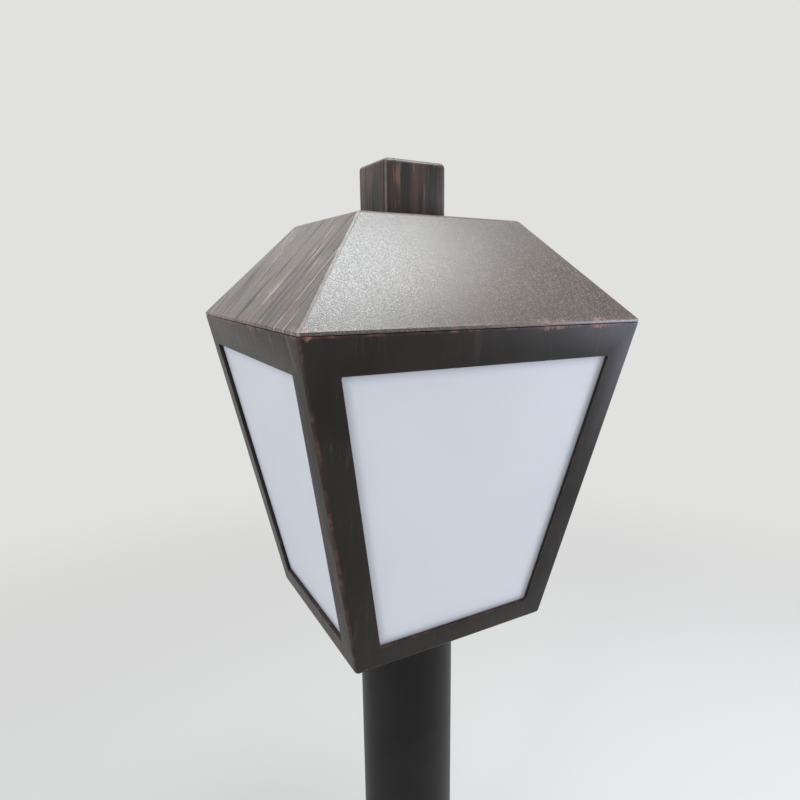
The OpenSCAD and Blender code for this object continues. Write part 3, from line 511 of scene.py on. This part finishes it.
# %% Bronze paint
def bronze_paint(name, rims=(), window=None, depth_ratio=1.0, streaks=(0.5, 0.5), rub=1.0,
                 corner=0.4, above=0.0, shine=0.5, dull=0.4, grain=1.0, specks=0.0,
                 weave=1.0, soot=0.6, painted_highlight=(0.0, 0.0), tones=("#1d1a19", "#2a2625"),
                 brushed=("#a09890", "#93685a"), copper=("#6e463b", "#967465")):
    """Powder coat on a square piece, rubbed along its corners, rims and window.

    rims: for each edge, its height and the half width of the flat it borders
    window: width of the stile, then the window's lowest and highest point
    depth_ratio: width over depth of a piece that isn't quite square
    streaks: how strong they are on front and back, and on the two sides
    rub, corner: how much copper shows at all, and on the upright folds
    above: height from which copper shows on the rims
    shine, dull, grain: gloss, roughness, and how much the grains differ
    specks: pale grains; weave: how fine the streaks are; soot: dark streaks
    gleam: pale lines of painted highlight on the folds, and on the rims
    """
    material, tree, shader = finish_named(name, "#2b2725", dull)
    shader.inputs["Specular IOR Level"].default_value = shine
    sums = partial(maths, tree)
    mixed = partial(blend, tree)

    def noise(scale, detail=2.0, vector=None, rough=0.5):
        return add(tree, "ShaderNodeTexNoise", {"Vector": vector or spot, "Scale": scale,
                   "Detail": detail, "Roughness": rough}).outputs[0]

    def band(value, low, high, bottom=0.0, top=1.0):
        return add(tree, "ShaderNodeMapRange", {0: value, 1: low, 2: high, 3: bottom, 4: top},
                   interpolation_type="SMOOTHSTEP").outputs[0]

    def pick_side(front, side):
        return add(tree, "ShaderNodeMix", {0: on_x, 2: front, 3: side},
                   data_type="FLOAT").outputs[0]

    place = add(tree, "ShaderNodeTexCoord")
    spot = place.outputs["Object"]
    x, y, z = add(tree, "ShaderNodeSeparateXYZ", {0: spot}).outputs
    y = sums("MULTIPLY", y, depth_ratio)
    upward = add(tree, "ShaderNodeSeparateXYZ", {0: place.outputs["Normal"]}).outputs[2]
    outside = sums("GREATER_THAN", upward, -0.4)
    ax, ay = sums("ABSOLUTE", x), sums("ABSOLUTE", y)
    out, along = sums("MAXIMUM", ax, ay), sums("MINIMUM", ax, ay)

    # The wear is on the outside only, and the inside of the roof looks down.
    # Streaks run down the slope: 1.3 and 3 mm wide at a weave of 1, in bands of
    # 8 mm. The height is pressed to 0.075 of itself, so each streak is 13 times
    # as long as it is wide
    on_x = sums("GREATER_THAN", ax, ay)
    strength = sums("MULTIPLY", pick_side(*streaks), outside)
    side_x = sums("MULTIPLY", sums("SIGN", x), 0.37)
    side_y = sums("MULTIPLY", sums("SIGN", y), 0.21)
    apart = sums("MULTIPLY", sums("ADD", side_x, side_y), on_x)
    lane = add(tree, "ShaderNodeCombineXYZ", {0: pick_side(x, y), 1: apart,
                                              2: sums("MULTIPLY", z, 0.075)}).outputs[0]
    fine = band(noise(760 * weave, 2, lane, 0.6), 0.60, 0.70)
    broad = band(noise(330 * weave, 2, lane, 0.5), 0.55, 0.68)
    patch = band(noise(38, 2), 0.40, 0.60)
    streak = sums("MULTIPLY", sums("MAXIMUM", fine, sums("MULTIPLY", broad, 0.8)), patch)
    streak = sums("MULTIPLY", streak, strength)
    dark_streak = sums("MULTIPLY", band(noise(520 * weave, 2, lane, 0.6), 0.47, 0.37), strength)
    wide = sums("MULTIPLY", band(noise(120 * weave, 2, lane, 0.6), 0.45, 0.65), strength)

    # Colour: dark ground with cloudy tone, then streaks of grey, cream and copper
    ground = mixed(band(noise(26, 3), 0.35, 0.65), tint(tones[0]), tint(tones[1]))
    cells = add(tree, "ShaderNodeTexVoronoi", {"Vector": spot, "Scale": 1900.0})
    speck = add(tree, "ShaderNodeSeparateXYZ", {0: cells.outputs["Color"]}).outputs[0]
    ground = mixed(band(speck, 0.5, 0.95, 0.0, specks), ground, tint("#8d7c6d"))
    hue = mixed(band(noise(90, 1), 0.42, 0.58), tint(brushed[0]), tint(brushed[1]))
    ground = mixed(sums("MULTIPLY", wide, 0.4), ground, tint("#5c463c"))
    ground = mixed(streak, ground, hue)
    ground = mixed(sums("MULTIPLY", dark_streak, soot), ground, tint("#171412"))

    # Copper: a thin line on the rims, broken up, with a few broader scuffs up to
    # 4 mm deep. Pale lines of painted highlight lie along the folds of the roof
    # and the chimney, and on the chimney's rim
    if rims:
        edge = 1.0
        for rim, flat in rims:
            off_rim = sums("ABSOLUTE", sums("SUBTRACT", z, rim))
            off_rim = sums("MAXIMUM", off_rim, sums("SUBTRACT", flat, out))
            edge = sums("MINIMUM", edge, off_rim)
        thin = sums("MULTIPLY", band(edge, 0.0014, 0.0004),
                    band(noise(110, 2), 0.42, 0.64, 0.05, 0.6))
        reach = sums("MULTIPLY", noise(420, 3, lane, 0.6), 0.0095)
        scuff = sums("MULTIPLY", band(sums("SUBTRACT", edge, reach), -0.0030, -0.0042),
                     band(noise(34, 2), 0.53, 0.65))
        rubbed = sums("MULTIPLY", sums("MAXIMUM", thin, scuff), sums("GREATER_THAN", z, above))
        fold = sums("SUBTRACT", out, along)
        fold = sums("ADD", fold, sums("GREATER_THAN", z, rims[-1][0] - 0.0006))
        thin = sums("MULTIPLY", band(fold, 0.0024, 0.0004),
                    band(noise(120, 2), 0.36, 0.68, 0.0, corner))
        rubbed = sums("MAXIMUM", rubbed, thin)
        # Painted highlight: a pale line along the folds, and along the rims, in place of the
        # shine they catch
        line = sums("MULTIPLY", band(fold, 0.0014, 0.0005), painted_highlight[0])
        line = sums("MAXIMUM", line, sums("MULTIPLY", band(edge, 0.0018, 0.0006), painted_highlight[1]))
        line = sums("MULTIPLY", line, band(noise(200, 2), 0.25, 0.55, 0.55, 1.0))
        if window:
            hole = sums("SUBTRACT", along, sums("SUBTRACT", out, window[0]))
            hole = sums("MAXIMUM", hole, sums("SUBTRACT", z, window[2]))
            hole = sums("MAXIMUM", hole, sums("SUBTRACT", window[1], z))
            thin = sums("MULTIPLY", band(sums("ABSOLUTE", hole), 0.0005, 0.0002),
                        band(noise(120, 2), 0.40, 0.60, 0.05, 0.3))
            rubbed = sums("MAXIMUM", rubbed, thin)
        metal = mixed(band(noise(300, 2), 0.42, 0.62), tint(copper[0]), tint(copper[1]))
        rubbed = sums("MULTIPLY", sums("MULTIPLY", rubbed, rub), outside)
        ground = mixed(rubbed, ground, metal)
        # Lay the pale painted highlight (#dad6d2) over the colour
        ground = mixed(sums("MULTIPLY", line, outside), ground, tint("#dad6d2"))
    tree.links.new(ground, shader.inputs["Base Color"])

    # Sheen: each grain of the coat shines a little differently
    gloss = band(speck, 0.0, 1.0, dull - 0.10 * grain, dull + 0.10 * grain)
    streaked = sums("MAXIMUM", streak, dark_streak)
    gloss = sums("ADD", gloss, sums("MULTIPLY", streaked, 0.3))
    tree.links.new(gloss, shader.inputs["Roughness"])
    strokes = sums("MULTIPLY", noise(620 * weave, 3, lane, 0.7), sums("MULTIPLY", strength, 1.1))
    skin = sums("ADD", sums("MULTIPLY", noise(1300, 3, None, 0.7), 1.8 * grain), strokes)
    bump = add(tree, "ShaderNodeBump", {"Strength": 1.0, "Distance": 0.00007, "Height": skin})
    tree.links.new(bump.outputs[0], shader.inputs["Normal"])
    return material


window = (stile, window_low, window_high)
body_paint = bronze_paint("bronze_powder_coat_body", rims=((head_z, 0.0), (body_top, 0.0)),
                          window=window, streaks=(0.05, 0.22), corner=0.34, shine=0.22,
                          dull=0.42, grain=0.3, weave=0.7, tones=("#1a1712", "#231f1a"),
                          copper=("#603f35", "#8a6051"))
# The roof's folds, and the chimney's folds and top rim, get a pale painted highlight
roof_paint = bronze_paint("bronze_powder_coat_roof",
                          rims=((eave_z, 0.0), (roof_top, roof_half / 2)),
                          streaks=(0.08, 1.0), rub=0.6, corner=0.25, above=eave_z, shine=1.0,
                          dull=0.38, specks=0.4, soot=0.3, painted_highlight=(0.26, 0.0), weave=0.8,
                          brushed=("#b2a89e", "#90695d"))
box_paint = bronze_paint("bronze_powder_coat_chimney", rims=((chimney_high, chimney_w / 2),),
                         depth_ratio=chimney_w / chimney_d, streaks=(1.0, 1.0), rub=0.3,
                         corner=0.0, shine=0.36, grain=0.3, weave=0.6, painted_highlight=(0.16, 0.3),
                         tones=("#1a1411", "#251d18"), brushed=("#6a5145", "#7d594b"))
post_paint = bronze_paint("bronze_powder_coat_post", streaks=(0.0, 0.0), shine=0.16, dull=0.42,
                          grain=0.15, tones=("#191817", "#1f1d1b"))
for piece in frame_pieces.values():
    piece.data.materials.append(body_paint)
roof.data.materials.append(roof_paint)
chimney.data.materials.append(box_paint)
foot.data.materials.append(post_paint)
bead.data.materials.append(post_paint)
print("paints made")

# %% [markdown]
# ## Opal panes
# The panes are cast opal acrylic, 3 mm thick with a satin face. Along the
# window's edge their colour is painted greyer, as shade where the frame keeps
# light out of the sheet: a smooth band of painted shade.

# %% Opal acrylic
opal, tree, shader = finish_named("opal_acrylic_satin", "#d5d7dd", 0.42)
shader.inputs["Subsurface Weight"].default_value = 0.2
shader.inputs["Subsurface Radius"].default_value = (1.0, 1.0, 1.0)
shader.inputs["Subsurface Scale"].default_value = 0.002
sums = partial(maths, tree)
spot = add(tree, "ShaderNodeTexCoord").outputs["Object"]
x, y, z = add(tree, "ShaderNodeSeparateXYZ", {0: spot}).outputs
ax, ay = sums("ABSOLUTE", x), sums("ABSOLUTE", y)
out, along = sums("MAXIMUM", ax, ay), sums("MINIMUM", ax, ay)
pane_back = 0.0025
side = sums("SUBTRACT", sums("SUBTRACT", out, stile - pane_back), along)
below, above = sums("SUBTRACT", z, window_low), sums("SUBTRACT", window_high, z)
near = sums("MINIMUM", sums("MINIMUM", below, above), side)
# Painted shade: the pane's colour turns greyer within 6 mm of the frame
frame_shade_width = 0.006
frame_shade_band = add(tree, "ShaderNodeMapRange", {0: near, 1: 0.0, 2: frame_shade_width},
             interpolation_type="SMOOTHSTEP")
haze = add(tree, "ShaderNodeTexNoise", {"Vector": spot, "Scale": 14, "Detail": 2})
clear = blend(tree, haze.outputs[0], tint("#cfd1d7"), tint("#d9dbe0"))
shade = blend(tree, frame_shade_band.outputs[0], tint("#bfc3ca"), clear)
tree.links.new(shade, shader.inputs["Base Color"])
fine = add(tree, "ShaderNodeTexNoise", {"Vector": spot, "Scale": 1500, "Detail": 1})
bump = add(tree, "ShaderNodeBump", {"Strength": 0.3, "Distance": 0.00002,
                                    "Height": fine.outputs[0]})
tree.links.new(bump.outputs[0], shader.inputs["Normal"])
print("opal acrylic made")

# %% [markdown]
# ## Inner parts
# Under the roof are ordinary fittings: zinc plated steel, rubber, glazed
# steatite, brass, and the plastics of the lamp. Each one gets its typical
# colour and gloss, and one pattern that breaks it up.

# %% Fittings
def fitting(name, colour, second, roughness, metallic=0.0, scale=120.0):
    """A finish with a cloudy second tone and a fine grain of about a millimetre."""
    material, tree, shader = finish_named(name, colour, roughness, metallic)
    spot = add(tree, "ShaderNodeTexCoord").outputs["Object"]
    cloud = add(tree, "ShaderNodeTexNoise", {"Vector": spot, "Scale": scale, "Detail": 3})
    tone = blend(tree, cloud.outputs[0], tint(colour), tint(second))
    tree.links.new(tone, shader.inputs["Base Color"])
    dull = add(tree, "ShaderNodeMapRange", {0: cloud.outputs[0], 3: roughness * 0.8,
                                            4: roughness * 1.25})
    tree.links.new(dull.outputs[0], shader.inputs["Roughness"])
    fine = add(tree, "ShaderNodeTexNoise", {"Vector": spot, "Scale": 900.0, "Detail": 2})
    bump = add(tree, "ShaderNodeBump", {"Strength": 0.4, "Distance": 0.00003,
                                        "Height": fine.outputs[0]})
    tree.links.new(bump.outputs[0], shader.inputs["Normal"])
    return material


finishes = {
    "bronze_paint": post_paint,
    "opal_acrylic": opal,
    "zinc_steel": fitting("zinc_plated_steel", "#b4b6b8", "#94979b", 0.34, 1.0, scale=260),
    "black_rubber": fitting("epdm_rubber_moulded", "#161616", "#222221", 0.7),
    "white_ceramic": fitting("glazed_steatite", "#ece8df", "#ddd8cd", 0.14, scale=70),
    "brass_contact": fitting("brass_turned", "#c9a45c", "#a98345", 0.26, 1.0),
    "tinned_copper": fitting("tinned_copper", "#c6c8ca", "#a9abad", 0.3, 1.0),
    "terminal_nylon": fitting("nylon_moulded", "#e8e6dc", "#dad7ca", 0.48),
    "live_insulation": fitting("pvc_insulation_brown", "#5a3a24", "#6b4529", 0.42),
    "neutral_insulation": fitting("pvc_insulation_blue", "#2b5a99", "#3568a8", 0.42),
    "earth_insulation": fitting("pvc_insulation_green", "#4f8a2f", "#5c9938", 0.42),
    "black_insulator": fitting("vitreous_glass_black", "#19161b", "#262229", 0.1),
    "cap_aluminium": fitting("aluminium_drawn", "#c6c8ca", "#b0b2b4", 0.3, 1.0),
    "lamp_housing_plastic": fitting("pbt_moulded_white", "#f0f0ee", "#e8e8e5", 0.45),
    "lamp_dome_plastic": fitting("polycarbonate_opal", "#f6f5f1", "#efeee9", 0.36),
    "chip_phosphor": fitting("silicone_phosphor", "#e6c43c", "#d9b22e", 0.4, scale=700),
}
print("finishes:", sorted(finishes))

# %% [markdown]
# The earth lead is green with a yellow stripe along it. The stripe lies on
# the lead's two sides, which the surface's own direction tells apart.

# %% Earth stripe
earth = finishes["earth_insulation"].node_tree
colour = earth.nodes["Principled BSDF"].inputs["Base Color"]
facing = add(earth, "ShaderNodeTexCoord").outputs["Normal"]
upward = add(earth, "ShaderNodeSeparateXYZ", {0: facing}).outputs[2]
stripe = add(earth, "ShaderNodeMapRange", {0: maths(earth, "ABSOLUTE", upward),
                                           1: 0.45, 2: 0.55, 3: 1.0, 4: 0.0})
green = colour.links[0].from_socket
earth.links.new(blend(earth, stripe.outputs[0], green, tint("#d8c62a")), colour)
print("earth stripe made")

# %% Dress the solids
for name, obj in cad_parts.items():
    for part in obj.material_slots:
        if part.material and part.material.name in finishes:
            part.material = finishes[part.material.name]
for name in ("top_ring", "floor_tray", "roof_collar"):
    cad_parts[name].material_slots[0].material = post_paint
print("solids dressed:", len(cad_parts))
